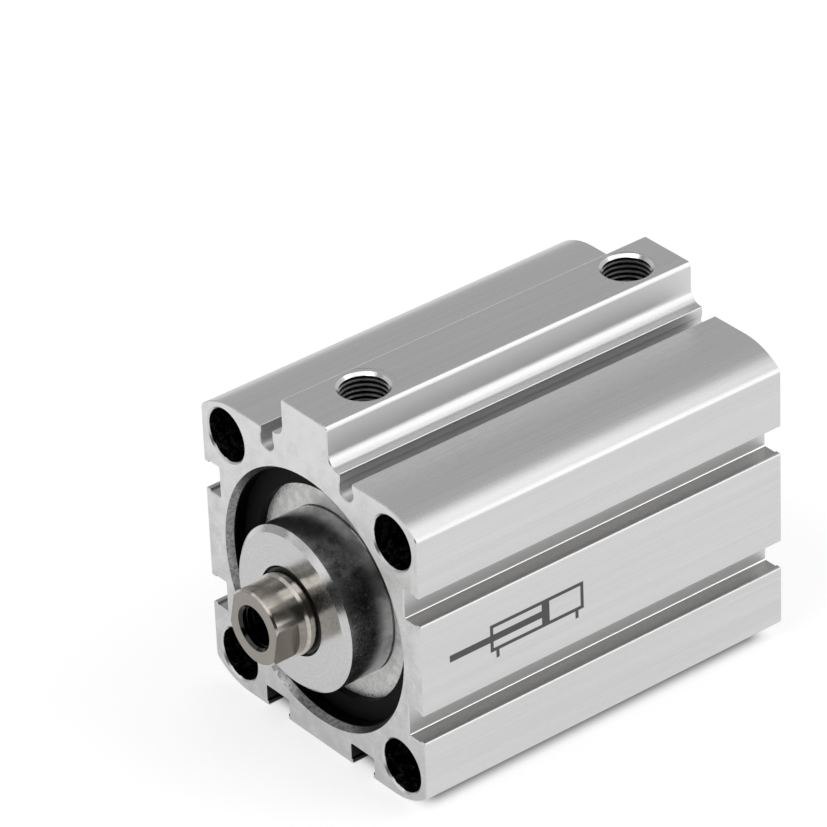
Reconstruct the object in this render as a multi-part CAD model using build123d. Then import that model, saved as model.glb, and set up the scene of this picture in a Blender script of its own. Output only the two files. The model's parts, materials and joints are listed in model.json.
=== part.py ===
from build123d import *
import math
import os

# Double-acting compact pneumatic cylinder, bore 63 mm, stroke 50 mm, with a female-threaded rod end.
# The barrel is an extruded profile with sensor slots and a port rail on top. Each end is closed by a
# cover that a retaining ring holds in the bore.
#
# Frame: the origin is on the rod axis, in the front mounting face. The rod leaves towards -Y,
# the barrel runs towards +Y, and the ports open towards +Z. Lengths are millimetres.

# ---- driving dimensions -------------------------------------------------------------------------
BODY_SIZE = 78.0  # across the flats of the barrel
BODY_LENGTH = 107.0
BORE_R = 31.5
STROKE = 50.0
ROD_R = 10.0
HOLE_PITCH = 60.0  # between the corner mounting holes, both ways

# barrel profile
CORNER_R = 18.0  # long round at the four corners
CORNER_BLEND_R = 2.0  # where the long round meets the side
TOP_FLAT_HALF = 27.0  # half the width of the top flat, where the long round starts
RAIL_TOP_Z = 49.8
RAIL_HALF_WIDTH = 8.3
RAIL_EDGE_R = 1.0
LEDGE_Z = 39.6  # the step beside the rail
LEDGE_FILLET = 3.2
NOTCH_X = 14.3  # round-bottomed groove on each side of the rail
NOTCH_Z = 36.1
NOTCH_R = 2.5
NOTCH_MOUTH_HALF = 2.15
SLOT_CENTRE = 15.7  # sensor slots, measured from the cylinder's axis
SLOT_DEPTH = 5.5
SLOT_HALF_WIDTH = 4.05
SLOT_MOUTH_HALF = 3.6
SLOT_LIP = 1.4
SLOT_ROOT_R = 0.35
SLOT_LIP_R = 0.45
END_CHAMFER = 0.2  # broken edge round both ends of the barrel
EDGE_R = 0.3  # small rounds at the notches' mouths

# holes in the barrel
THROUGH_HOLE_R = 4.5
COUNTERBORE_R = 6.6
COUNTERBORE_DEPTH = 12.0
HOLE_CHAMFER = 0.5
BORE_CHAMFER = 1.1
BORE_CHAMFER_LENGTH = 1.9
PORT_R = 5.72  # G 1/4 at its minor diameter
PORT_MAJOR_R = 6.58
PORT_PITCH = 1.337
PORT_TURNS = 7
PORT_DEPTH = 12.0
PORT_CHAMFER = 0.7
FRONT_PORT_FACE_R = 7.7  # shallow spot face round a port
REAR_PORT_FACE_R = 6.9
PORT_FACE_DEPTH = 0.06
FRONT_PORT_Y = 17.2
REAR_PORT_Y = BODY_LENGTH - 12.5
PASSAGE_R = 2.5
REAR_PASSAGE_SHIFT = -2.6  # keeps the passage clear of the rear cover's O-ring

# retaining rings (DIN 472 shape)
RING_THICKNESS = 2.0
RING_GROOVE_WIDTH = 2.1
RING_GROOVE_R = 33.0
RING_INNER_R = 26.6
RING_GAP_HALF = 7.0
RING_LUG_R = 3.6
RING_EYE_R = 1.5
RING_LUG_CENTRE_R = 28.9
FRONT_RING_ANGLE = 215.0  # where the front ring's lugs are, seen along +Y from +X towards +Z
REAR_RING_ANGLE = 270.0

# covers
FRONT_FACE_Y = 7.0  # annular outer face of the front cover
REAR_FACE_Y = 100.5  # outer face of the rear cover
COVER_FIT = 0.05
NOSE_R = 20.5
NOSE_Y = -6.4
NOSE_CHAMFER = 1.4
NOSE_RELIEF = 0.45  # square groove at the foot of the nose
FLANGE_LENGTH = 7.3
BOSS_R = 27.5  # reduced inner end of a cover, which the air passage opens onto
ORING_GROOVE_R = 29.0
ORING_GROOVE_WIDTH = 3.2
ORING_SECTION_R = 1.24

# cover bore, front to rear
WIPER_LIP_R = 11.1
WIPER_SEAT_R = 14.0
WIPER_SEAT_Y = (-5.3, -1.4)
ROD_CLEAR_R = 10.6
ROD_SEAL_SEAT_R = 14.5
ROD_SEAL_SEAT_Y = (0.2, 5.7)
BUSH_SEAT_R = 12.0
BUSH_SEAT_Y = 7.2
BUSH_END_GAP = 0.4

# rod
ROD_END_Y = -17.0
ROD_TIP_R = 9.4
ROD_TIP_LENGTH = 8.0
ROD_TIP_CHAMFER = 0.5
ROD_THREAD_R = 5.05  # M12 at its minor diameter
ROD_THREAD_MAJOR_R = 6.0
ROD_THREAD_PITCH = 1.75
ROD_THREAD_TURNS = 10
ROD_THREAD_DEPTH = 25.0
ROD_THREAD_CHAMFER_R = 5.75
DRILL_TIP_R = 0.3  # flat left at the bottom of a drilled hole
DRILL_TIP_LENGTH = 2.5
FLAT_HALF = 8.0  # wrench flats, 16 across
FLAT_LENGTH = 5.8
FLAT_TURN = 12.4  # the flats are turned about the rod's axis
SPIGOT_R = 7.0
SPIGOT_OVERLAP = 0.6  # how far the spigot reaches into the piston's rear half
ROD_FIT = 0.03
SEAL_FIT = 0.05

# piston, retracted
PISTON_LENGTH = 18.0
PISTON_R = 31.2
PISTON_FIT = 0.02
PISTON_GAP = 0.1  # left between the piston and a bumper at either end of the stroke
PISTON_REAR_Y = 89.4
BORE_ORING_DEPTH = 1.75  # groove in the front half's bore
BORE_ORING_WIDTH = 2.2
BORE_ORING_START = 3.0  # from the piston's front face
BORE_ORING_SECTION_R = 0.86
SEAL_GROOVE_R = 26.5
SEAL_GROOVE_WIDTH = 4.0
SEAL_LAND = 1.8  # from the piston's end face to the seal groove
MAGNET_GROOVE_R = 22.0
MAGNET_GROOVE_WIDTH = 4.0
MAGNET_R = (22.3, 28.6)
GUIDE_R = (29.0, 31.44)
SCREW_R = 4.0  # M8
SCREW_HEAD_R = 6.5
SCREW_HEAD_LENGTH = 4.5
SCREW_SOCKET_AF = 5.0
SCREW_SOCKET_DEPTH = 3.0
SCREW_GRIP = 16.0  # thread in the rod
SCREW_HOLE_CLEARANCE = 0.25
SCREW_TIP_GAP = 3.0  # free hole past the screw's tip
WASHER_LENGTH = 1.2
SCREW_POCKET_R = 8.0
SCREW_POCKET_DEPTH = 6.0

# bumpers
BUMPER_R = (14.5, 23.5)
BUMPER_LENGTH = 2.8
BUMPER_RECESS = 1.5
BUMPER_FIT = 0.05

# ---- derived positions --------------------------------------------------------------------------
HALF = BODY_SIZE / 2
PITCH_HALF = HOLE_PITCH / 2
PISTON_FRONT_Y = PISTON_REAR_Y - PISTON_LENGTH
PISTON_MID_Y = PISTON_REAR_Y - PISTON_LENGTH / 2
FRONT_BUMPER_Y = PISTON_FRONT_Y - STROKE - PISTON_GAP  # its striking face
REAR_BUMPER_Y = PISTON_REAR_Y + PISTON_GAP
FRONT_INNER_Y = FRONT_BUMPER_Y - (BUMPER_LENGTH - BUMPER_RECESS)
REAR_INNER_Y = REAR_BUMPER_Y + (BUMPER_LENGTH - BUMPER_RECESS)
COVER_R = BORE_R - COVER_FIT
FRONT_RING_Y = FRONT_FACE_Y - RING_THICKNESS
REAR_RING_Y = REAR_FACE_Y
FRONT_ORING_Y = FRONT_FACE_Y + 2.2  # front side of the front cover's O-ring groove
REAR_ORING_Y = REAR_FACE_Y - 1.4 - ORING_GROOVE_WIDTH
SEAL_AXIAL_GAP = 0.2
SPIGOT_END_Y = PISTON_MID_Y + SPIGOT_OVERLAP
WEB_Y = PISTON_REAR_Y - SCREW_POCKET_DEPTH  # the face that the screw's washer bears on
NEAR = 0.01  # two positions closer than this are the same


# ---- helpers ------------------------------------------------------------------------------------
def turned(points):
    """A solid of revolution about the Y axis, from its half section as (radius, y) points."""
    return revolve(make_face(Polyline(*points, close=True)), axis=Axis.Y)


def tube(outer_r, inner_r, y0, y1):
    """A plain ring between two stations on the axis."""
    return turned([(inner_r, y0), (outer_r, y0), (outer_r, y1), (inner_r, y1)])


def rod(radius, y0, y1, x=0.0, z=0.0):
    """A plain round bar along Y."""
    bar = turned([(0, y0), (radius, y0), (radius, y1), (0, y1)])
    return Pos(x, 0, z) * bar


def flare(r0, r1, y0, y1, x=0.0, z=0.0):
    """A cone frustum along Y, of radius r0 at y0 and r1 at y1."""
    return Pos(x, 0, z) * turned([(0, y0), (r0, y0), (r1, y1), (0, y1)])


def upright(radius, z0, z1, y):
    """A plain round bar along Z on the cylinder's middle plane."""
    return Pos(0, y, (z0 + z1) / 2) * Cylinder(radius, z1 - z0)


def thread_rings(minor_r, major_r, pitch, turns):
    """Cutter for an internal thread: one V ring for each turn, about +Y from the origin.

    Rings stand for the helix. The crests stay at the minor radius, a quarter of the pitch wide.
    """
    core_r = minor_r - 1.0
    points = [(core_r, 0)]
    for turn in range(turns):
        start = turn * pitch
        points += [
            (minor_r, start),
            (major_r, start + 0.31 * pitch),
            (major_r, start + 0.44 * pitch),
            (minor_r, start + 0.75 * pitch),
        ]
    points.append((core_r, (turns - 0.25) * pitch))
    return turned(points)


def o_ring(centre_r, section_r, y):
    """An O-ring about the Y axis, centred at station y."""
    section = Pos(centre_r, y) * Circle(section_r)
    return revolve(section, axis=Axis.Y)


def save(node, shape):
    """Write one node's solids to its own STEP file."""
    export_step(shape, os.path.join("parts", node + ".step"))


# ---- barrel -------------------------------------------------------------------------------------
def corner_end_z():
    """Height at which the long corner round reaches the side face."""
    centre_z = HALF - CORNER_R
    return centre_z + math.sqrt(CORNER_R**2 - (HALF - TOP_FLAT_HALF) ** 2)


def half_outline():
    """Right half of the profile as an open chain from the bottom middle to the rail's middle."""
    side_z = corner_end_z()
    run = HALF - TOP_FLAT_HALF
    mid_run = CORNER_R * math.sin(0.5 * math.asin(run / CORNER_R))
    mid_drop = CORNER_R - math.sqrt(CORNER_R**2 - mid_run**2)
    mid_x, mid_z = TOP_FLAT_HALF + mid_run, HALF - mid_drop
    fillet_x = RAIL_HALF_WIDTH + LEDGE_FILLET
    fillet_mid = LEDGE_FILLET * (1 - math.sqrt(0.5))
    mouth_in = NOTCH_X - NOTCH_MOUTH_HALF
    mouth_out = NOTCH_X + NOTCH_MOUTH_HALF
    neck_z = NOTCH_Z + math.sqrt(NOTCH_R**2 - NOTCH_MOUTH_HALF**2)
    return [
        Line((0, -HALF), (TOP_FLAT_HALF, -HALF)),
        ThreePointArc((TOP_FLAT_HALF, -HALF), (mid_x, -mid_z), (HALF, -side_z)),
        Line((HALF, -side_z), (HALF, side_z)),
        ThreePointArc((HALF, side_z), (mid_x, mid_z), (TOP_FLAT_HALF, HALF)),
        Line((TOP_FLAT_HALF, HALF), (mouth_out, HALF)),
        Line((mouth_out, HALF), (mouth_out, neck_z)),
        ThreePointArc((mouth_out, neck_z), (NOTCH_X, NOTCH_Z - NOTCH_R), (mouth_in, neck_z)),
        Line((mouth_in, neck_z), (mouth_in, LEDGE_Z)),
        Line((mouth_in, LEDGE_Z), (fillet_x, LEDGE_Z)),
        ThreePointArc(
            (fillet_x, LEDGE_Z),
            (RAIL_HALF_WIDTH + fillet_mid, LEDGE_Z + fillet_mid),
            (RAIL_HALF_WIDTH, LEDGE_Z + LEDGE_FILLET),
        ),
        Line((RAIL_HALF_WIDTH, LEDGE_Z + LEDGE_FILLET), (RAIL_HALF_WIDTH, RAIL_TOP_Z)),
        Line((RAIL_HALF_WIDTH, RAIL_TOP_Z), (0, RAIL_TOP_Z)),
    ]


def slot_section():
    """One sensor slot that opens to +X, centred on the X axis."""
    floor_x = HALF - SLOT_DEPTH
    lip_x = HALF - SLOT_LIP
    cavity = Pos((floor_x + lip_x) / 2, 0) * Rectangle(lip_x - floor_x, 2 * SLOT_HALF_WIDTH)
    mouth = Pos(HALF, 0) * Rectangle(2 * SLOT_LIP, 2 * SLOT_MOUTH_HALF)
    return cavity + mouth


def is_long_corner(vertex):
    """True where a long corner round meets a side face."""
    return abs(abs(vertex.X) - HALF) < NEAR and abs(abs(vertex.Y) - corner_end_z()) < NEAR


def is_rail_corner(vertex):
    """True at the rail's two top edges."""
    return abs(abs(vertex.X) - RAIL_HALF_WIDTH) < NEAR and abs(vertex.Y - RAIL_TOP_Z) < NEAR


def is_notch_mouth(vertex):
    """True at the edges of the notches and of the ledges beside the rail."""
    from_notch = abs(abs(vertex.X) - NOTCH_X)
    return abs(from_notch - NOTCH_MOUTH_HALF) < NEAR and vertex.Y > HALF - NEAR


def is_in_slot(vertex, half_width, depth):
    """True at a slot's edges that lie half_width from its middle and depth below the barrel's face."""
    across, up = sorted((abs(vertex.X), abs(vertex.Y)))
    return abs(abs(across - SLOT_CENTRE) - half_width) < NEAR and abs(up - (HALF - depth)) < NEAR


def profile():
    """The extrusion's full section, drawn with x across and y up."""
    right = half_outline()
    left = [mirror(edge, about=Plane.YZ) for edge in right]
    face = make_face(Curve() + right + left)
    face = fillet([v for v in face.vertices() if is_long_corner(v)], CORNER_BLEND_R)
    face = fillet([v for v in face.vertices() if is_rail_corner(v)], RAIL_EDGE_R)
    face = fillet([v for v in face.vertices() if is_notch_mouth(v)], EDGE_R)
    slot = slot_section()
    for side in (-SLOT_CENTRE, SLOT_CENTRE):
        face -= Pos(0, side) * slot
        face -= Pos(0, side) * Rot(0, 0, 180) * slot
        face -= Pos(side, 0) * Rot(0, 0, -90) * slot
    lips = [v for v in face.vertices() if is_in_slot(v, SLOT_MOUTH_HALF, 0)]
    face = fillet(lips, SLOT_LIP_R)
    roots = [v for v in face.vertices() if is_in_slot(v, SLOT_HALF_WIDTH, SLOT_DEPTH)]
    return fillet(roots, SLOT_ROOT_R)


def mounting_holes():
    """The four corner holes: through, with a counterbore and a broken edge at both ends."""
    cuts = []
    for x in (-PITCH_HALF, PITCH_HALF):
        for z in (-PITCH_HALF, PITCH_HALF):
            cuts.append(rod(THROUGH_HOLE_R, 0, BODY_LENGTH, x, z))
            cuts.append(rod(COUNTERBORE_R, 0, COUNTERBORE_DEPTH, x, z))
            cuts.append(rod(COUNTERBORE_R, BODY_LENGTH - COUNTERBORE_DEPTH, BODY_LENGTH, x, z))
            wide = COUNTERBORE_R + HOLE_CHAMFER
            cuts.append(flare(wide, COUNTERBORE_R, 0, HOLE_CHAMFER, x, z))
            cuts.append(flare(COUNTERBORE_R, wide, BODY_LENGTH - HOLE_CHAMFER, BODY_LENGTH, x, z))
    return cuts


def port(y, face_r, passage_shift):
    """One port: spot face, countersink, thread and the passage down to the bore."""
    floor_z = RAIL_TOP_Z - PORT_DEPTH
    face_z = RAIL_TOP_Z - PORT_FACE_DEPTH
    cone = Cone(PORT_R, PORT_R + PORT_CHAMFER, PORT_CHAMFER)
    thread = thread_rings(PORT_R, PORT_MAJOR_R, PORT_PITCH, PORT_TURNS)
    return [
        upright(face_r, face_z, RAIL_TOP_Z, y),
        Pos(0, y, face_z - PORT_CHAMFER / 2) * cone,
        Pos(0, y, face_z - PORT_CHAMFER) * Rot(-90, 0, 0) * thread,
        upright(PORT_R, floor_z, RAIL_TOP_Z, y),
        upright(PASSAGE_R, 0, floor_z, y + passage_shift),
    ]


def make_barrel():
    """The extruded body with its bore, retaining ring grooves, mounting holes and ports."""
    solid = extrude(Plane.XZ * profile(), amount=BODY_LENGTH, dir=(0, 1, 0))
    ends = solid.faces().sort_by(Axis.Y)
    rims = ends[0].outer_wire().edges() + ends[-1].outer_wire().edges()
    solid = chamfer(rims, END_CHAMFER)
    mouth_r = BORE_R + BORE_CHAMFER
    cuts = [
        rod(BORE_R, 0, BODY_LENGTH),
        flare(mouth_r, BORE_R, 0, BORE_CHAMFER_LENGTH),
        flare(BORE_R, mouth_r, BODY_LENGTH - BORE_CHAMFER_LENGTH, BODY_LENGTH),
        rod(RING_GROOVE_R, FRONT_FACE_Y - RING_GROOVE_WIDTH, FRONT_FACE_Y),
        rod(RING_GROOVE_R, REAR_FACE_Y, REAR_FACE_Y + RING_GROOVE_WIDTH),
    ]
    cuts += mounting_holes()
    cuts += port(FRONT_PORT_Y, FRONT_PORT_FACE_R, 0.0)
    cuts += port(REAR_PORT_Y, REAR_PORT_FACE_R, REAR_PASSAGE_SHIFT)
    for cut in cuts:
        solid -= cut
    return solid


# ---- covers and retaining rings -----------------------------------------------------------------
def make_front_cover():
    """Turned cover with a nose round the rod, and seats for the wiper, rod seal and bush."""
    flange_end = FRONT_FACE_Y + FLANGE_LENGTH
    groove_end = FRONT_ORING_Y + ORING_GROOVE_WIDTH
    section = [
        (WIPER_LIP_R, NOSE_Y),
        (NOSE_R - NOSE_CHAMFER, NOSE_Y),
        (NOSE_R, NOSE_Y + NOSE_CHAMFER),
        (NOSE_R, FRONT_FACE_Y - NOSE_RELIEF),
        (NOSE_R - NOSE_RELIEF, FRONT_FACE_Y - NOSE_RELIEF),
        (NOSE_R - NOSE_RELIEF, FRONT_FACE_Y),
        (COVER_R, FRONT_FACE_Y),
        (COVER_R, FRONT_ORING_Y),
        (ORING_GROOVE_R, FRONT_ORING_Y),
        (ORING_GROOVE_R, groove_end),
        (COVER_R, groove_end),
        (COVER_R, flange_end),
        (BOSS_R, flange_end),
        (BOSS_R, FRONT_INNER_Y),
        (BUMPER_R[1], FRONT_INNER_Y),
        (BUMPER_R[1], FRONT_INNER_Y - BUMPER_RECESS),
        (BUMPER_R[0], FRONT_INNER_Y - BUMPER_RECESS),
        (BUMPER_R[0], FRONT_INNER_Y),
        (BUSH_SEAT_R, FRONT_INNER_Y),
        (BUSH_SEAT_R, BUSH_SEAT_Y),
        (ROD_CLEAR_R, BUSH_SEAT_Y),
        (ROD_CLEAR_R, ROD_SEAL_SEAT_Y[1]),
        (ROD_SEAL_SEAT_R, ROD_SEAL_SEAT_Y[1]),
        (ROD_SEAL_SEAT_R, ROD_SEAL_SEAT_Y[0]),
        (ROD_CLEAR_R, ROD_SEAL_SEAT_Y[0]),
        (ROD_CLEAR_R, WIPER_SEAT_Y[1]),
        (WIPER_SEAT_R, WIPER_SEAT_Y[1]),
        (WIPER_SEAT_R, WIPER_SEAT_Y[0]),
        (WIPER_LIP_R, WIPER_SEAT_Y[0]),
    ]
    return turned(section)


def make_rear_cover():
    """Turned disc that closes the rear end, with a shallow centre recess on its outer face."""
    flange_start = REAR_FACE_Y - 5.8
    groove_end = REAR_ORING_Y + ORING_GROOVE_WIDTH
    recess_r, recess_depth, edge = 16.0, 1.2, 0.4
    section = [
        (0, REAR_INNER_Y),
        (BUMPER_R[0], REAR_INNER_Y),
        (BUMPER_R[0], REAR_INNER_Y + BUMPER_RECESS),
        (BUMPER_R[1], REAR_INNER_Y + BUMPER_RECESS),
        (BUMPER_R[1], REAR_INNER_Y),
        (BOSS_R, REAR_INNER_Y),
        (BOSS_R, flange_start),
        (COVER_R, flange_start),
        (COVER_R, REAR_ORING_Y),
        (ORING_GROOVE_R, REAR_ORING_Y),
        (ORING_GROOVE_R, groove_end),
        (COVER_R, groove_end),
        (COVER_R, REAR_FACE_Y - edge),
        (COVER_R - edge, REAR_FACE_Y),
        (recess_r, REAR_FACE_Y),
        (recess_r - recess_depth, REAR_FACE_Y - recess_depth),
        (0, REAR_FACE_Y - recess_depth),
    ]
    return turned(section)


def make_retaining_ring(y, lug_angle):
    """An internal retaining ring with two eyed lugs beside its gap."""
    outer_r = RING_GROOVE_R - 0.1
    ring = Circle(outer_r) - Circle(RING_INNER_R)
    swing = math.degrees(math.asin((RING_GAP_HALF + RING_LUG_R - 1.0) / RING_LUG_CENTRE_R))
    eyes = []
    for sign in (-1, 1):
        place = Rot(0, 0, sign * swing) * Pos(RING_LUG_CENTRE_R, 0)
        eyes.append(place * Circle(RING_EYE_R))
        ring += place * Circle(RING_LUG_R)
    ring = ring & Circle(outer_r)
    ring -= Pos(RING_LUG_CENTRE_R, 0) * Rectangle(2 * RING_LUG_CENTRE_R, 2 * RING_GAP_HALF)
    for eye in eyes:
        ring -= eye
    ring = Plane.XZ * (Rot(0, 0, lug_angle) * ring)
    return Pos(0, y, 0) * extrude(ring, amount=RING_THICKNESS, dir=(0, 1, 0))


def make_lip_seal(inner_r, outer_r, y_back, y_front):
    """A U-shaped lip seal: its back is at y_back and its two lips end at y_front."""
    length = y_front - y_back
    wall = (outer_r - inner_r) * 0.34
    middle = (inner_r + outer_r) / 2
    relief = 0.2
    section = [
        (inner_r + relief, y_back),
        (outer_r - relief, y_back),
        (outer_r - relief, y_back + 0.45 * length),
        (outer_r, y_back + 0.8 * length),
        (outer_r - relief, y_front),
        (outer_r - wall, y_front),
        (middle, y_back + 0.4 * length),
        (inner_r + wall, y_front),
        (inner_r + relief, y_front),
        (inner_r, y_back + 0.8 * length),
        (inner_r + relief, y_back + 0.45 * length),
    ]
    return turned(section)


def make_wiper():
    """The rod wiper: a seated body with a thin scraping lip that points outwards."""
    rod_r = ROD_R + SEAL_FIT
    front, back = WIPER_SEAT_Y[0] + 0.15, WIPER_SEAT_Y[1] - 0.15
    lip_y = NOSE_Y + 0.5
    section = [
        (rod_r, lip_y),
        (rod_r + 0.45, lip_y),
        (rod_r + 0.8, front),
        (WIPER_SEAT_R - 0.1, front),
        (WIPER_SEAT_R - 0.1, back),
        (rod_r + 0.6, back),
        (rod_r + 0.35, front + 1.2),
    ]
    return turned(section)


def make_rod_bush():
    """Plain bearing bush that guides the rod in the front cover."""
    inner_r, outer_r, edge = ROD_R + ROD_FIT, BUSH_SEAT_R - 0.01, 0.4
    y0, y1 = BUSH_SEAT_Y, FRONT_INNER_Y - BUSH_END_GAP
    return turned(
        [
            (inner_r + edge, y0),
            (outer_r - edge, y0),
            (outer_r, y0 + edge),
            (outer_r, y1),
            (inner_r, y1),
            (inner_r, y0 + edge),
        ]
    )


# ---- rod and piston -----------------------------------------------------------------------------
def make_piston_rod():
    """The rod: wrench flats and a threaded hole at the front, a spigot for the piston at the rear."""
    shoulder_y = PISTON_FRONT_Y
    step_y = ROD_END_Y + ROD_TIP_LENGTH
    step = ROD_R - ROD_TIP_R
    solid = turned(
        [
            (0, ROD_END_Y),
            (ROD_TIP_R - ROD_TIP_CHAMFER, ROD_END_Y),
            (ROD_TIP_R, ROD_END_Y + ROD_TIP_CHAMFER),
            (ROD_TIP_R, step_y),
            (ROD_R, step_y + step),
            (ROD_R, shoulder_y),
            (SPIGOT_R, shoulder_y),
            (SPIGOT_R, SPIGOT_END_Y),
            (0, SPIGOT_END_Y),
        ]
    )
    hole_end = ROD_END_Y + ROD_THREAD_DEPTH
    countersink = ROD_THREAD_CHAMFER_R - ROD_THREAD_R
    thread = thread_rings(ROD_THREAD_R, ROD_THREAD_MAJOR_R, ROD_THREAD_PITCH, ROD_THREAD_TURNS)
    solid -= Pos(0, ROD_END_Y + countersink, 0) * thread
    solid -= rod(ROD_THREAD_R, ROD_END_Y, hole_end)
    solid -= flare(ROD_THREAD_R, DRILL_TIP_R, hole_end, hole_end + DRILL_TIP_LENGTH)
    solid -= flare(ROD_THREAD_CHAMFER_R, ROD_THREAD_R, ROD_END_Y, ROD_END_Y + countersink)
    solid -= rod(SCREW_R, SPIGOT_END_Y - SCREW_GRIP - SCREW_TIP_GAP, SPIGOT_END_Y)
    for side in (-1, 1):
        block = Box(ROD_R, FLAT_LENGTH, 4 * ROD_R)
        beside = Pos(side * (FLAT_HALF + ROD_R / 2), ROD_END_Y + FLAT_LENGTH / 2, 0)
        solid -= Rot(0, FLAT_TURN, 0) * beside * block
    return solid


def piston_half_section(end_y, mid_y, core_r, notch):
    """Half section of one piston half, from its end face to the middle.

    The notch is the recess in its bore as (radius, y) points, from the end face's side.
    """
    toward_mid = 1 if mid_y > end_y else -1
    groove_a = end_y + toward_mid * SEAL_LAND
    groove_b = groove_a + toward_mid * SEAL_GROOVE_WIDTH
    magnet_y = mid_y - toward_mid * MAGNET_GROOVE_WIDTH / 2
    edge = 0.6
    outside = [
        (PISTON_R - edge, end_y),
        (PISTON_R, end_y + toward_mid * edge),
        (PISTON_R, groove_a),
        (SEAL_GROOVE_R, groove_a),
        (SEAL_GROOVE_R, groove_b),
        (PISTON_R, groove_b),
        (PISTON_R, magnet_y),
        (MAGNET_GROOVE_R, magnet_y),
        (MAGNET_GROOVE_R, mid_y),
        (core_r, mid_y),
    ]
    return outside + notch


def make_piston_front_half():
    """Front half of the piston. It sits on the rod's spigot, with an O-ring groove in its bore."""
    bore_r = SPIGOT_R + PISTON_FIT
    groove_r = bore_r + BORE_ORING_DEPTH
    groove_y = PISTON_FRONT_Y + BORE_ORING_START
    notch = [
        (bore_r, groove_y + BORE_ORING_WIDTH),
        (groove_r, groove_y + BORE_ORING_WIDTH),
        (groove_r, groove_y),
        (bore_r, groove_y),
        (bore_r, PISTON_FRONT_Y),
    ]
    return turned(piston_half_section(PISTON_FRONT_Y, PISTON_MID_Y, bore_r, notch))


def make_piston_rear_half():
    """Rear half of the piston. The screw's head and washer lie in the pocket of its end face."""
    bore_r = SPIGOT_R + PISTON_FIT
    hole_r = SCREW_R + SCREW_HOLE_CLEARANCE
    spigot_pocket = SPIGOT_END_Y + PISTON_GAP
    notch = [
        (bore_r, spigot_pocket),
        (hole_r, spigot_pocket),
        (hole_r, WEB_Y),
        (SCREW_POCKET_R, WEB_Y),
        (SCREW_POCKET_R, PISTON_REAR_Y),
    ]
    return turned(piston_half_section(PISTON_REAR_Y, PISTON_MID_Y, bore_r, notch))


def make_piston_screw():
    """Low-head socket screw that clamps the piston's halves to the rod."""
    under_head = WEB_Y + WASHER_LENGTH
    head_end = under_head + SCREW_HEAD_LENGTH
    tip_y = SPIGOT_END_Y - SCREW_GRIP
    shank_r = SCREW_R - PISTON_FIT
    edge = 0.8
    solid = turned(
        [
            (0, tip_y),
            (shank_r - edge, tip_y),
            (shank_r, tip_y + edge),
            (shank_r, under_head),
            (SCREW_HEAD_R, under_head),
            (SCREW_HEAD_R, head_end - edge),
            (SCREW_HEAD_R - edge, head_end),
            (0, head_end),
        ]
    )
    socket = Plane.XZ * RegularPolygon(SCREW_SOCKET_AF / 2, 6, major_radius=False)
    depth = extrude(socket, amount=SCREW_SOCKET_DEPTH, dir=(0, 1, 0))
    return solid - Pos(0, head_end - SCREW_SOCKET_DEPTH, 0) * depth


def make_piston_seal(end_y, toward_mid):
    """Lip seal in one of the piston's grooves. Its lips face the piston's end."""
    groove_y = end_y + toward_mid * SEAL_LAND
    y_front = groove_y + toward_mid * SEAL_AXIAL_GAP
    y_back = groove_y + toward_mid * (SEAL_GROOVE_WIDTH - SEAL_AXIAL_GAP)
    return make_lip_seal(SEAL_GROOVE_R + 0.3, BORE_R - SEAL_FIT, y_back, y_front)


def make_parts():
    """Every node of the cylinder, by name."""
    magnet_half = MAGNET_GROOVE_WIDTH / 2 - 0.2
    magnet_y = (PISTON_MID_Y - magnet_half, PISTON_MID_Y + magnet_half)
    oring_r = (ORING_GROOVE_R + BORE_R) / 2
    front_oring_y = FRONT_ORING_Y + ORING_GROOVE_WIDTH / 2
    rear_oring_y = REAR_ORING_Y + ORING_GROOVE_WIDTH / 2
    seal_y = (ROD_SEAL_SEAT_Y[0] + SEAL_AXIAL_GAP, ROD_SEAL_SEAT_Y[1] - SEAL_AXIAL_GAP)
    bumper_r = (BUMPER_R[1] - BUMPER_FIT, BUMPER_R[0] + BUMPER_FIT)
    bore_oring_r = SPIGOT_R + (PISTON_FIT + BORE_ORING_DEPTH) / 2
    bore_oring_y = PISTON_FRONT_Y + BORE_ORING_START + BORE_ORING_WIDTH / 2
    washer_r = (SCREW_HEAD_R + 0.4, SCREW_R + SCREW_HOLE_CLEARANCE)
    return {
        "barrel": make_barrel(),
        "front_cover": make_front_cover(),
        "rear_cover": make_rear_cover(),
        "front_retaining_ring": make_retaining_ring(FRONT_RING_Y, FRONT_RING_ANGLE),
        "rear_retaining_ring": make_retaining_ring(REAR_RING_Y, REAR_RING_ANGLE),
        "front_cover_o_ring": o_ring(oring_r, ORING_SECTION_R, front_oring_y),
        "rear_cover_o_ring": o_ring(oring_r, ORING_SECTION_R, rear_oring_y),
        "rod_wiper": make_wiper(),
        "rod_seal": make_lip_seal(ROD_R + SEAL_FIT, ROD_SEAL_SEAT_R - 0.1, *seal_y),
        "rod_bush": make_rod_bush(),
        "front_bumper": tube(*bumper_r, FRONT_BUMPER_Y - BUMPER_LENGTH, FRONT_BUMPER_Y),
        "rear_bumper": tube(*bumper_r, REAR_BUMPER_Y, REAR_BUMPER_Y + BUMPER_LENGTH),
        "piston_rod": make_piston_rod(),
        "piston_front_half": make_piston_front_half(),
        "piston_rear_half": make_piston_rear_half(),
        "piston_screw": make_piston_screw(),
        "piston_screw_washer": tube(*washer_r, WEB_Y, WEB_Y + WASHER_LENGTH),
        "piston_bore_o_ring": o_ring(bore_oring_r, BORE_ORING_SECTION_R, bore_oring_y),
        "piston_magnet": tube(MAGNET_R[1], MAGNET_R[0], *magnet_y),
        "piston_guide_ring": tube(GUIDE_R[1], GUIDE_R[0], *magnet_y),
        "front_piston_seal": make_piston_seal(PISTON_FRONT_Y, 1),
        "rear_piston_seal": make_piston_seal(PISTON_REAR_Y, -1),
    }


os.makedirs("parts", exist_ok=True)
for node, shape in make_parts().items():
    save(node, shape)
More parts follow.
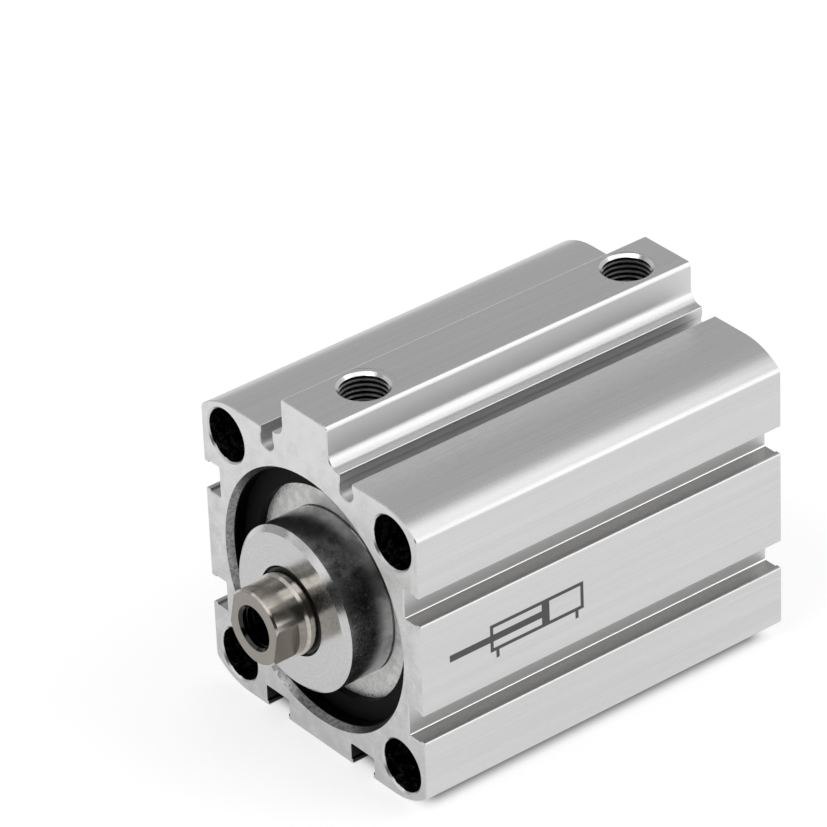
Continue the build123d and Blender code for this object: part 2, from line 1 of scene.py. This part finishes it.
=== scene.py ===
"""Compact pneumatic cylinder: finishes, printed symbol, floor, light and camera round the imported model."""

import json
import math

import bmesh
import bpy
from mathutils import Matrix, Vector


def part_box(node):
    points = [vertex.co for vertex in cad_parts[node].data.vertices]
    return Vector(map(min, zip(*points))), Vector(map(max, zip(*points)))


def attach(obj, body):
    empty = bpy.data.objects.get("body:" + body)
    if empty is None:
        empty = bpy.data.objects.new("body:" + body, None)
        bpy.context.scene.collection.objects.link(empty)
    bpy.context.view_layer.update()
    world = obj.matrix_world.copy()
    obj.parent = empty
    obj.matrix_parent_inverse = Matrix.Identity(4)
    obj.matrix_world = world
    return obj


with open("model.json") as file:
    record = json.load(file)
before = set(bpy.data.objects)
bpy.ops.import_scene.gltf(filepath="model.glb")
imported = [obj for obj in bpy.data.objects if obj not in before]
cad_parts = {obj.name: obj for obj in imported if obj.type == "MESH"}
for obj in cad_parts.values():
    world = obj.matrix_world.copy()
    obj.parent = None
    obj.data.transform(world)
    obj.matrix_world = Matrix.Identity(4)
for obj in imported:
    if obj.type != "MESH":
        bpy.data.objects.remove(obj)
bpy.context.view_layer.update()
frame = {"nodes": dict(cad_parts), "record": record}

MM = 0.001
BARREL_LOW, BARREL_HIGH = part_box("barrel")
FLOOR_Z = BARREL_LOW.z

# ---- camera -------------------------------------------------------------------------------------
AZIMUTH, ELEVATION, ROLL = 52.34, 31.88, -2.454  # degrees
LENS_MM, SENSOR_MM = 252.6, 36.0
AIM = Vector((-0.02107, 0.04714, 0.02028))
DISTANCE = 1.3395

# ---- places that the finishes depend on, in millimetres -----------------------------------------
BODY_LENGTH = 107.0
BODY_HALF = 39.0

# bore and front cover
BORE_R = 31.5
MOUTH_R = 32.6  # outer edge of the bore's chamfered mouth
GROOVE_R = 33.0  # grooves of the retaining rings
GROOVE_FROM_END = 3.2  # past the mouth, where the ring grooves can be
NOSE_R = 20.5
COVER_FACE_Y = 7.0
SPECKLE_R = (23.5, 26.2)  # the specks on the cover's face get denser between these

# corner holes and sensor slots
HOLE_PITCH_HALF = 30.0
COUNTERBORE_R = 6.6
SLOT_REACH = 20.5  # the slots lie within this distance of the middle planes
SLOT_FLOOR = 33.5  # from the axis to the bottom of a slot
SLOT_SKIN = 0.6  # this far behind the outer face, a surface is inside a slot

# rail, with its grooves and ports
RAIL_TOP_Z = 49.8
RAIL_WALL_Z = 44.0  # above the rounded foot of the rail
RAIL_HALF_WIDTH = 8.3
RAIL_EDGE_R = 1.0
NOTCH_X = 14.3
NOTCH_R = 2.5
NOTCH_FLOOR_Z = 33.6
FRONT_PORT_Y = 17.2
REAR_PORT_Y = BODY_LENGTH - 12.5
PORT_THREAD_R = 6.6
PORT_CREST_R = 5.8  # just outside the thread's crests
PORT_FLOOR_Z = 37.8  # bottom of a port
PORT_CHAMFER = 0.7

# rod
ROD_BORE_R = 6.05
FLAT_HALF = 8.0
FLAT_TURN = math.radians(12.4)

# centre, in x and z, of the arcs that the milling cutter left on the end faces
MILL_CENTRE = (140.0, 90.0)


def add_node(tree, kind, inputs, **settings):
    """A shader node whose inputs are linked to sockets or set to values."""
    node = tree.nodes.new("ShaderNode" + kind)
    for key, value in settings.items():
        setattr(node, key, value)
    for key, value in inputs.items():
        feed(tree, node.inputs[key], value)
    return node


def feed(tree, socket, value):
    if isinstance(value, bpy.types.NodeSocket):
        tree.links.new(value, socket)
    else:
        socket.default_value = value


class Graph:
    """A node material with one Principled shader, built by short calls. Places are in millimetres."""

    def __init__(self, name):
        self.material = bpy.data.materials.new(name)
        self.material.use_nodes = True
        self.tree = self.material.node_tree
        self.tree.nodes.clear()
        self.shader = self.put("BsdfPrincipled", {})
        self.put("OutputMaterial", {"Surface": self.shader.outputs[0]})
        where = self.put("TexCoord", {})
        scaled = self.put("VectorMath", {0: where.outputs["Object"], "Scale": 1 / MM}, operation="SCALE")
        self.place = scaled.outputs[0]
        self.x, self.y, self.z = self.split(self.place)
        self.normal = where.outputs["Normal"]
        self.nx, self.ny, self.nz = self.split(self.normal)

    def put(self, kind, inputs, **settings):
        return add_node(self.tree, kind, inputs, **settings)

    def set(self, **values):
        """Sets or links sockets of the Principled shader. Underscores stand for spaces."""
        for key, value in values.items():
            feed(self.tree, self.shader.inputs[key.replace("_", " ")], value)

    # numbers
    def math(self, operation, a, b=0.0):
        return self.put("Math", {0: a, 1: b}, operation=operation).outputs[0]

    def fold(self, operation, values):
        """One operation over several values, from left to right."""
        result = values[0]
        for value in values[1:]:
            result = self.math(operation, result, value)
        return result

    def total(self, *values):
        return self.fold("ADD", values)

    def every(self, *shares):
        """The share where all of these hold, which is their product."""
        return self.fold("MULTIPLY", shares)

    def either(self, *shares):
        """The share where any of these holds, which is the largest."""
        return self.fold("MAXIMUM", shares)

    def less(self, a, b):
        return self.math("SUBTRACT", a, b)

    def absolute(self, value):
        return self.math("ABSOLUTE", value)

    def away(self, value, centre):
        """How far a value is from a centre."""
        return self.absolute(self.less(value, centre))

    def ramp(self, value, low, high, out_low=0.0, out_high=1.0):
        """A smooth step from out_low at low to out_high at high. low may be the larger one."""
        ends = {"Value": value, "From Min": low, "From Max": high, "To Min": out_low, "To Max": out_high}
        return self.put("MapRange", ends, interpolation_type="SMOOTHSTEP").outputs[0]

    def blend(self, share, a, b):
        """a where share is 0 and b where it is 1, for numbers."""
        return self.put("Mix", {0: share, 2: a, 3: b}, data_type="FLOAT").outputs[0]

    # places
    def split(self, vector):
        return self.put("SeparateXYZ", {0: vector}).outputs[:]

    def distance(self, a, b):
        """Length of the vector (a, b)."""
        return self.math("SQRT", self.total(self.every(a, a), self.every(b, b)))

    def radius(self, x0=0.0, z0=0.0):
        """Distance from the line along Y through (x0, z0)."""
        return self.distance(self.less(self.x, x0), self.less(self.z, z0))

    def stretched(self, sx, sy, sz):
        return self.put("VectorMath", {0: self.place, 1: (sx, sy, sz)}, operation="MULTIPLY").outputs[0]

    def across_flats(self, vector):
        """How far a vector reaches along the direction that the wrench flats face."""
        toward = (math.cos(FLAT_TURN), 0, -math.sin(FLAT_TURN))
        dot = self.put("VectorMath", {0: vector, 1: toward}, operation="DOT_PRODUCT")
        return self.absolute(dot.outputs["Value"])

    # patterns
    def noise(self, scale, detail=3.0, rough=0.5, vector=None):
        inputs = {"Vector": vector or self.place, "Scale": scale, "Detail": detail, "Roughness": rough}
        return self.put("TexNoise", inputs, noise_dimensions="3D").outputs[0]

    def lines(self, value, scale, detail=3.0, rough=0.6):
        """Noise that varies only with one number."""
        inputs = {"W": value, "Scale": scale, "Detail": detail, "Roughness": rough}
        return self.put("TexNoise", inputs, noise_dimensions="1D").outputs[0]

    # surface
    def colour(self, share, a, b):
        """a where share is 0 and b where it is 1, for colours given as tuples or sockets."""
        node = self.put("Mix", {0: share}, data_type="RGBA")
        for index, value in ((6, a), (7, b)):
            feed(self.tree, node.inputs[index], (*value, 1.0) if isinstance(value, tuple) else value)
        return node.outputs[2]

    def bump(self, height, depth_mm):
        inputs = {"Height": height, "Distance": depth_mm * MM, "Strength": 1.0}
        return self.put("Bump", inputs).outputs[0]

    def round_tangent(self):
        return self.put("Tangent", {}, direction_type="RADIAL", axis="Y").outputs[0]


def grey(value, warm=0.0):
    """A near-grey colour. warm above 0 leans to yellow."""
    return (value * (1 + warm), value, value * (1 - 1.6 * warm))


# ---- the barrel's finish --------------------------------------------------------------------------
def bore_shares(g, slope):
    """Where the bore with its ring grooves is, and its chamfered mouth."""
    radius = g.radius()
    from_end = g.less(BODY_LENGTH / 2, g.away(g.y, BODY_LENGTH / 2))
    wall = g.ramp(radius, BORE_R + 0.12, BORE_R + 0.06)
    deep = g.ramp(from_end, GROOVE_FROM_END - 0.2, GROOVE_FROM_END)
    groove = g.every(g.ramp(radius, GROOVE_R + 0.3, GROOVE_R + 0.2), deep)
    mouth = g.every(g.ramp(radius, MOUTH_R + 0.15, MOUTH_R + 0.05), slope)
    return g.either(wall, groove), mouth


def hole_share(g):
    """Inside the corner holes, past their broken edge."""
    beside = g.less(g.absolute(g.x), HOLE_PITCH_HALF)
    above = g.less(g.absolute(g.z), HOLE_PITCH_HALF)
    return g.ramp(g.distance(beside, above), COUNTERBORE_R + 0.12, COUNTERBORE_R + 0.05)


def slot_shares(g, slope):
    """The side slots' ledges, backs and whole insides, and the insides of the slots underneath."""
    across, height = g.absolute(g.x), g.absolute(g.z)
    skin = BODY_HALF - SLOT_SKIN
    in_side = g.every(g.ramp(across, skin + 0.15, skin), g.ramp(height, SLOT_REACH + 1.5, SLOT_REACH))
    base_slot_painted_shade = g.every(
        g.ramp(g.z, -skin - 0.15, -skin),
        g.ramp(g.z, -SLOT_FLOOR + 0.5, -SLOT_FLOOR + 0.2),
        g.ramp(across, SLOT_REACH + 1.5, SLOT_REACH),
        slope,
    )
    # ledge: the slot floors, darkened with painted shade
    ledge_painted_shade = g.every(in_side, g.ramp(g.absolute(g.nz), 0.93, 0.98))
    back = g.every(in_side, slope, g.ramp(g.absolute(g.nx), 0.93, 0.98))
    # inside: the slots' corners and lip faces, which get a painted highlight
    inside = g.every(in_side, g.ramp(g.absolute(g.ny), 0.3, 0.1))
    return ledge_painted_shade, back, inside, base_slot_painted_shade


def rail_shares(g, slope):
    """The rail's side walls, its rounded edges, and the grooves beside it."""
    across = g.absolute(g.x)
    wall = g.every(g.ramp(g.z, RAIL_WALL_Z - 2.0, RAIL_WALL_Z), g.ramp(g.absolute(g.nx), 0.6, 0.9))
    edge_x, edge_z = RAIL_HALF_WIDTH - RAIL_EDGE_R, RAIL_TOP_Z - RAIL_EDGE_R
    # edge: the rail's rounded top edges, which get a painted highlight
    edge = g.every(
        g.ramp(g.z, edge_z - 0.2, edge_z + 0.1),
        g.ramp(g.nz, 0.97, 0.9),
        g.ramp(across, edge_x - 0.3, edge_x - 0.1),
    )
    notch = g.every(
        g.ramp(g.away(across, NOTCH_X), NOTCH_R + 0.2, NOTCH_R),
        g.ramp(g.z, BODY_HALF, BODY_HALF - 0.5),
        g.ramp(g.z, NOTCH_FLOOR_Z - 0.6, NOTCH_FLOOR_Z - 0.4),
        slope,
    )
    return wall, edge, notch


def port_shares(g):
    """The inside of the ports, the part of it below the countersink, and the thread's roots."""
    along = g.math("MINIMUM", g.away(g.y, FRONT_PORT_Y), g.away(g.y, REAR_PORT_Y))
    from_port = g.distance(g.x, along)
    port = g.every(
        g.ramp(from_port, PORT_THREAD_R + 0.1, PORT_THREAD_R),
        g.ramp(g.z, PORT_FLOOR_Z - 1.8, PORT_FLOOR_Z - 0.8),
        g.ramp(g.nz, 0.98, 0.9),
    )
    countersink_z = RAIL_TOP_Z - PORT_CHAMFER
    in_thread = g.every(port, g.ramp(g.z, countersink_z, countersink_z - 0.2))
    return port, in_thread, g.ramp(from_port, PORT_CREST_R, PORT_CREST_R + 0.4)


def anodised_profile():
    """Natural anodised extrusion: fine drawing lines on its sides, milled ends. Painted shade darkens the
    bore, its mouth, the corner holes, thread roots, slot ledges and the bottom slots; painted highlights and
    glints brighten slot corners, rail edges and holes; painted light lifts the end faces upward.
    """
    g = Graph("anodised_profile")
    drawn = g.noise(3.2, 4.0, 0.6, g.stretched(1, 0.004, 1))
    streaks = g.noise(0.45, 3.0, 0.5, g.stretched(1, 0.012, 1))
    grain = g.noise(7.0, 3.0)
    cloud = g.noise(0.22, 4.0, 0.6)
    mottle = g.noise(1.1, 5.0, 0.7)
    arcs = g.lines(g.radius(*MILL_CENTRE), 1.1, 4.0)

    end_face = g.ramp(g.absolute(g.ny), 0.8, 0.95)
    slope = g.less(1.0, end_face)
    bore, mouth = bore_shares(g, slope)
    hole = hole_share(g)
    ledge_painted_shade, back, slot_painted_highlight, base_slot_painted_shade = slot_shares(g, slope)
    rail_side, rail_edge_highlight, notch = rail_shares(g, slope)
    port, in_thread, thread_root = port_shares(g)

    side = g.colour(g.ramp(g.total(drawn, streaks), 0.75, 1.25), grey(0.585), grey(0.620))
    # painted highlight: near-white tone on the slots' corners and lip faces
    side = g.colour(slot_painted_highlight, side, grey(0.92))
    side = g.colour(back, side, g.colour(grain, grey(0.60), grey(0.68)))
    # painted shade: darker mottled tone on the slot ledges beneath the lips
    side = g.colour(ledge_painted_shade, side, g.colour(mottle, grey(0.34, 0.012), grey(0.46, 0.012)))
    side = g.colour(rail_side, side, grey(0.66))
    # painted highlight: lighter tone on the rail's rounded top edges
    side = g.colour(rail_edge_highlight, side, grey(0.85))
    side = g.colour(notch, side, grey(0.62))
    # painted shade: the bottom slots are made near-black
    side = g.colour(base_slot_painted_shade, side, grey(0.02))
    # painted light and shade: the milled end faces turn lighter with height
    painted_light_upward = g.every(g.z, 0.006)
    milled = g.colour(g.ramp(g.total(mottle, cloud, painted_light_upward), 0.6, 1.4), grey(0.50), grey(0.71))
    # painted shade: the bore's chamfered mouth is darkened, with a mottled tone
    mouth_painted_shade = g.colour(g.ramp(mottle, 0.32, 0.68), grey(0.16), grey(0.36))
    # painted shade: the thread's roots are near-black between lighter crests
    thread_tone_root_shade = g.colour(thread_root, grey(0.80), grey(0.05))
    # painted shade and glints: the corner holes are near-black with bright patches
    hole_shade_and_glints = g.colour(g.ramp(g.noise(0.7, 5.0, 0.7), 0.47, 0.63), grey(0.02), grey(0.62))
    tone = g.colour(end_face, side, milled)
    tone = g.colour(mouth, tone, mouth_painted_shade)
    tone = g.colour(port, tone, grey(0.84))
    tone = g.colour(in_thread, tone, thread_tone_root_shade)
    tone = g.colour(hole, tone, hole_shade_and_glints)
    # painted shade: the bore and its ring grooves are made near-black
    g.set(Metallic=1.0, Base_Color=g.colour(bore, tone, grey(0.010)))

    rough_side = g.ramp(g.total(drawn, grain), 0.7, 1.3, 0.26, 0.34)
    rough_end = g.ramp(mottle, 0.3, 0.7, 0.36, 0.5)
    rough = g.blend(end_face, rough_side, rough_end)
    rough = g.blend(g.either(back, rail_side, notch), rough, 0.48)
    rough = g.blend(g.either(port, hole), rough, 0.25)
    g.set(Roughness=g.blend(bore, rough, 0.35))
    drawn_relief = g.total(drawn, g.every(grain, 0.2))
    milled_relief = g.total(arcs, g.every(mottle, 0.5))
    g.set(Normal=g.bump(g.blend(end_face, drawn_relief, milled_relief), 0.005))
    return g.material


# ---- the other finishes ---------------------------------------------------------------------------
def turned_cover():
    """Turned aluminium: a nose with fine tool lines, dark oil marks and a painted sheen on its upper right,
    and a duller annular face.
    """
    g = Graph("turned_cover")
    radius = g.radius()
    tool = g.lines(g.total(radius, g.y), 4.0, 4.0)
    fine = g.noise(1.6, 4.0, 0.6)
    marks = g.ramp(g.noise(0.16, 3.0, 0.55), 0.40, 0.60)
    # painted sheen: a blotchy lighter patch where the nose faces up and right
    sheen_smear = g.ramp(g.noise(0.3, 4.0, 0.6, g.stretched(1, 0.5, 1)), 0.38, 0.55)
    painted_sheen = g.every(g.ramp(g.nz, 0.45, 0.85), g.ramp(g.nx, 0.05, 0.45), sheen_smear)
    facing = g.ramp(g.absolute(g.ny), 0.7, 0.9)
    face = g.every(g.ramp(radius, NOSE_R + 0.2, NOSE_R + 0.6), facing)
    before_face = g.ramp(g.y, COVER_FACE_Y, COVER_FACE_Y - 0.2)
    shaft = g.every(g.ramp(g.absolute(g.ny), 0.5, 0.3), before_face)
    dust = g.every(shaft, g.ramp(g.noise(2.6, 2.0, 0.5), 0.69, 0.74))
    stain = g.ramp(g.noise(0.5, 5.0, 0.65), 0.40, 0.62)
    speckle = g.every(g.ramp(g.noise(1.3, 3.0, 0.7), 0.56, 0.62), g.ramp(radius, *SPECKLE_R))

    end = g.colour(g.ramp(g.total(tool, fine), 0.7, 1.3), grey(0.48), grey(0.56))
    nose = g.colour(marks, grey(0.40), grey(0.64))
    plate = g.colour(stain, grey(0.52, 0.005), grey(0.66, 0.005))
    plate = g.colour(speckle, plate, grey(0.16))
    # painted sheen: the nose is less metallic on that patch
    metallic = g.blend(g.every(shaft, painted_sheen), 1.0, 0.78)
    g.set(Metallic=g.blend(dust, metallic, 0.2), Base_Color=g.colour(face, g.colour(shaft, end, nose), plate))
    g.set(Roughness=g.blend(face, g.ramp(fine, 0.3, 0.7, 0.17, 0.25), 0.42))
    g.set(Anisotropic=0.7, Anisotropic_Rotation=0.25, Tangent=g.round_tangent())
    g.set(Normal=g.bump(g.total(tool, g.every(fine, 0.3)), 0.004))
    return g.material


def spring_steel():
    """Black phosphated spring steel."""
    g = Graph("phosphated_steel")
    fine, cloud = g.noise(14.0, 3.0), g.noise(0.9, 3.0)
    g.set(Metallic=0.0, Specular_IOR_Level=0.04, Base_Color=g.colour(cloud, grey(0.004), grey(0.009)))
    g.set(Roughness=g.ramp(fine, 0.3, 0.7, 0.45, 0.6), Normal=g.bump(fine, 0.01))
    return g.material


def rod_steel():
    """Ground rod steel of a warm grey, milled on the wrench flats, with painted shade darkening the threaded
    hole.
    """
    g = Graph("rod_steel")
    ground = g.lines(g.total(g.radius(), g.y), 5.0, 4.0)
    cloud = g.noise(0.9, 5.0, 0.65, g.stretched(1, 0.5, 1))
    mill = g.noise(2.5, 3.0, 0.6, g.stretched(0.15, 1.0, 0.15))
    reach = g.across_flats(g.place)
    on_flat = g.every(
        g.ramp(g.across_flats(g.normal), 0.97, 0.995),
        g.ramp(reach, FLAT_HALF + 0.1, FLAT_HALF),
        g.ramp(reach, FLAT_HALF - 0.1, FLAT_HALF - 0.05),
    )
    on_end = g.ramp(g.absolute(g.ny), 0.9, 0.97)
    # painted shade: the threaded hole and its countersink are made near-black
    inside = g.every(g.ramp(g.radius(), ROD_BORE_R + 0.1, ROD_BORE_R), g.less(1.0, on_end))
    tone = g.colour(g.ramp(g.total(ground, cloud), 0.7, 1.3), grey(0.36, 0.07), grey(0.47, 0.055))
    tone = g.colour(on_end, tone, g.colour(cloud, grey(0.21, 0.07), grey(0.28, 0.07)))
    tone = g.colour(on_flat, tone, grey(0.27, 0.09))
    g.set(Metallic=1.0, Base_Color=g.colour(inside, tone, grey(0.035)))
    g.set(Roughness=g.blend(on_flat, g.ramp(cloud, 0.3, 0.7, 0.15, 0.19), 0.34))
    g.set(Anisotropic=0.3, Anisotropic_Rotation=0.25, Tangent=g.round_tangent())
    g.set(Normal=g.bump(g.blend(on_flat, ground, mill), 0.004))
    return g.material


def metal(name, low, high, rough, warm=0.0, metallic=1.0):
    """A turned metal part with tool lines round the axis."""
    g = Graph(name)
    tool = g.lines(g.total(g.radius(), g.y), 4.0, 4.0)
    cloud = g.noise(0.7, 4.0)
    tone = g.colour(g.ramp(g.total(tool, cloud), 0.7, 1.3), grey(low, warm), grey(high, warm))
    g.set(Metallic=metallic, Base_Color=tone)
    g.set(Roughness=g.ramp(cloud, 0.3, 0.7, rough - 0.06, rough + 0.06))
    g.set(Normal=g.bump(tool, 0.005))
    return g.material


def moulded(name, dark, light, rough, depth_mm=0.01):
    """A moulded elastomer or plastic part with a fine grain and a cloudy tone."""
    g = Graph(name)
    grain, cloud = g.noise(11.0, 3.0), g.noise(0.8, 3.0)
    g.set(Metallic=0.0, Base_Color=g.colour(g.ramp(cloud, 0.3, 0.7), dark, light))
    g.set(Roughness=g.ramp(grain, 0.3, 0.7, rough - 0.08, rough + 0.08))
    g.set(Normal=g.bump(grain, depth_mm))
    return g.material


def printed_ink():
    """Dark grey pad-printed ink, slightly uneven."""
    g = Graph("printed_ink")
    cloud, grain = g.noise(1.5, 4.0), g.noise(20.0, 2.0)
    g.set(Metallic=0.0, Base_Color=g.colour(cloud, grey(0.045), grey(0.065)))
    g.set(Roughness=g.ramp(grain, 0.3, 0.7, 0.42, 0.55), Normal=g.bump(grain, 0.002))
    return g.material


FINISHES = {
    "anodised_aluminium": anodised_profile(),
    "turned_aluminium": turned_cover(),
    "black_spring_steel": spring_steel(),
    "seal_rubber": moulded("nitrile_rubber", grey(0.008), grey(0.014), 0.5),
    "bearing_bronze": metal("sintered_bronze", 0.34, 0.42, 0.4, warm=0.35),
    "bumper_rubber": moulded("polyurethane", (0.05, 0.035, 0.02), (0.08, 0.055, 0.03), 0.45),
    "guide_plastic": moulded("acetal", grey(0.55, 0.05), grey(0.65, 0.05), 0.4, 0.004),
    "rod_steel": rod_steel(),
    "piston_aluminium": metal("turned_piston", 0.56, 0.66, 0.3),
    "screw_steel": metal("black_oxide_steel", 0.03, 0.06, 0.35, metallic=0.8),
    "bonded_magnet": moulded("bonded_ferrite", grey(0.03), grey(0.05), 0.55),
}
for row in frame["record"]["subparts"]:
    node = frame["nodes"][row["node"]]
    for index in range(len(node.material_slots)):
        node.material_slots[index].material = FINISHES[row["material_slot"]]


# ---- printed symbol, in millimetres ---------------------------------------------------------------
SYMBOL_Y = (8.0, 47.0)  # where the print starts and ends along the side
SYMBOL_HALF = 3.6  # half the height of the symbol's barrel
SYMBOL_LINE = 0.9
SYMBOL_FOOT = 2.0  # length of the two port strokes
FOOT_INSET = 1.6  # from the symbol barrel's ends to those strokes
INK_THICKNESS = 0.015
INK_ROOT = 0.01  # how far the ink reaches into the surface


def printed_symbol():
    """The circuit symbol of a double-acting cylinder, printed on the right side between the slots."""
    y0, y1 = SYMBOL_Y
    body_y = y0 + 0.30 * (y1 - y0)
    piston_y = body_y + 0.55 * (y1 - body_y)
    half, line = SYMBOL_HALF, SYMBOL_LINE
    foot_a, foot_b = body_y + FOOT_INSET, y1 - FOOT_INSET
    bars = [  # each from y to y and from z to z; none overlap
        (body_y, y1, half - line, half),
        (body_y, y1, -half, -half + line),
        (body_y, body_y + line, line, half - line),
        (body_y, body_y + line, -half + line, -line),
        (y1 - line, y1, -half + line, half - line),
        (piston_y, piston_y + 2.5 * line, -half + line, half - line),
        (y0, piston_y, -line, line),
        (foot_a, foot_a + line, -half - SYMBOL_FOOT, -half),
        (foot_b - line, foot_b, -half - SYMBOL_FOOT, -half),
    ]
    mesh = bmesh.new()
    x_back, x_front = BARREL_HIGH.x - INK_ROOT * MM, BARREL_HIGH.x + INK_THICKNESS * MM
    for ya, yb, za, zb in bars:
        size = Vector((x_front - x_back, (yb - ya) * MM, (zb - za) * MM))
        centre = Vector(((x_back + x_front) / 2, (ya + yb) / 2 * MM, (za + zb) / 2 * MM))
        bmesh.ops.create_cube(mesh, size=1.0, matrix=Matrix.Translation(centre) @ Matrix.Diagonal((*size, 1)))
    data = bpy.data.meshes.new("printed_symbol")
    mesh.to_mesh(data)
    mesh.free()
    data.materials.append(printed_ink())
    symbol = bpy.data.objects.new("printed_symbol", data)
    bpy.context.scene.collection.objects.link(symbol)
    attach(symbol, "cylinder_body")


# ---- floor, light and camera ----------------------------------------------------------------------
FLOOR_SIZE = 40.0
FLOOR_GAP = 0.05 * MM  # keeps the floor clear of the body's underside
FLOOR_GLOW = 0.68  # radiance of the floor's own light
SKY, SKY_FRONT = 0.57, 0.03  # the surroundings' radiance overhead and behind, and on the camera's side
DIM_SIDE = Vector((0.60, -0.74, 0.30)).normalized()
LAMP_DISTANCE = 1.5


def make_floor():
    """A plain pale floor that gives back a little light of its own, with a painted shadow beneath the body.
    """
    bpy.ops.mesh.primitive_plane_add(size=FLOOR_SIZE, location=(0, 0, FLOOR_Z - FLOOR_GAP))
    floor = bpy.context.object
    floor.name = "floor"
    g = Graph("floor")
    from_middle = g.away(g.y, BODY_LENGTH / 2)
    beside, before = BODY_HALF - 1.0, BODY_LENGTH / 2 - 1.0
    # painted shadow: near-black and without glow beneath the body
    painted_shadow = g.every(g.ramp(g.absolute(g.x), beside, beside - 6), g.ramp(from_middle, before, before - 6))
    g.set(Base_Color=g.colour(painted_shadow, grey(0.5), grey(0.02)), Roughness=0.9, Specular_IOR_Level=0.0)
    g.set(Emission_Color=(1, 1, 1, 1), Emission_Strength=g.blend(painted_shadow, FLOOR_GLOW, 0.0))
    floor.data.materials.append(g.material)


def make_world():
    """Soft studio surroundings: bright overhead and behind, dim on the camera's side."""
    world = bpy.data.worlds.new("studio")
    world.use_nodes = True
    tree = world.node_tree
    tree.nodes.clear()
    direction = add_node(tree, "TexCoord", {}).outputs["Generated"]
    facing = add_node(tree, "VectorMath", {0: direction, 1: DIM_SIDE}, operation="DOT_PRODUCT")
    ends = {"From Min": -0.2, "From Max": 0.75, "To Min": SKY, "To Max": SKY_FRONT}
    ends["Value"] = facing.outputs["Value"]
    level = add_node(tree, "MapRange", ends, interpolation_type="SMOOTHSTEP")
    background = add_node(tree, "Background", {"Color": level.outputs[0], "Strength": 1.0})
    add_node(tree, "OutputWorld", {"Surface": background.outputs[0]})
    bpy.context.scene.world = world


def softbox(name, direction, along, size, radiance):
    """A rectangular lamp that looks at the object from a direction. Its height runs the way of along."""
    toward = Vector(direction).normalized()
    side = Vector(along).cross(toward).normalized()
    turn = Matrix((side, toward.cross(side), toward)).transposed().to_4x4()
    lamp = bpy.data.lights.new(name, "AREA")
    lamp.shape = "RECTANGLE"
    lamp.size, lamp.size_y = size
    lamp.energy = radiance * math.pi * size[0] * size[1]
    holder = bpy.data.objects.new(name, lamp)
    holder.matrix_world = Matrix.Translation(AIM + toward * LAMP_DISTANCE) @ turn
    bpy.context.scene.collection.objects.link(holder)


def make_camera():
    """The camera at the object's viewing angle, with its small roll."""
    a, e, r = math.radians(AZIMUTH), math.radians(ELEVATION), math.radians(ROLL)
    back = Vector((math.sin(a) * math.cos(e), -math.cos(a) * math.cos(e), math.sin(e)))
    level = Vector((math.cos(a), math.sin(a), 0))
    right = level * math.cos(r) + back.cross(level) * math.sin(r)
    up = back.cross(right)
    data = bpy.data.cameras.new("camera")
    data.lens, data.sensor_width = LENS_MM, SENSOR_MM
    data.clip_start, data.clip_end = 0.05, 100.0
    camera = bpy.data.objects.new("camera", data)
    turn = Matrix((right, up, back)).transposed().to_4x4()
    camera.matrix_world = Matrix.Translation(AIM + back * DISTANCE) @ turn
    bpy.context.scene.collection.objects.link(camera)
    bpy.context.scene.camera = camera


printed_symbol()
make_floor()
make_world()
softbox("overhead", (0.42, 0.08, 0.91), (0, 1, 0), (0.8, 1.9), 1.25)
softbox("side", (0.80, 0.52, 0.36), (0, 0, 1), (0.75, 1.2), 1.55)
softbox("front", (-0.22, -0.83, 0.51), (1, 0, 0), (0.35, 1.8), 1.7)
softbox("front_top", (0.04, -0.48, 0.87), (0, 1, 0), (0.75, 0.45), 3.2)
make_camera()
bpy.context.scene.view_settings.view_transform = "Standard"
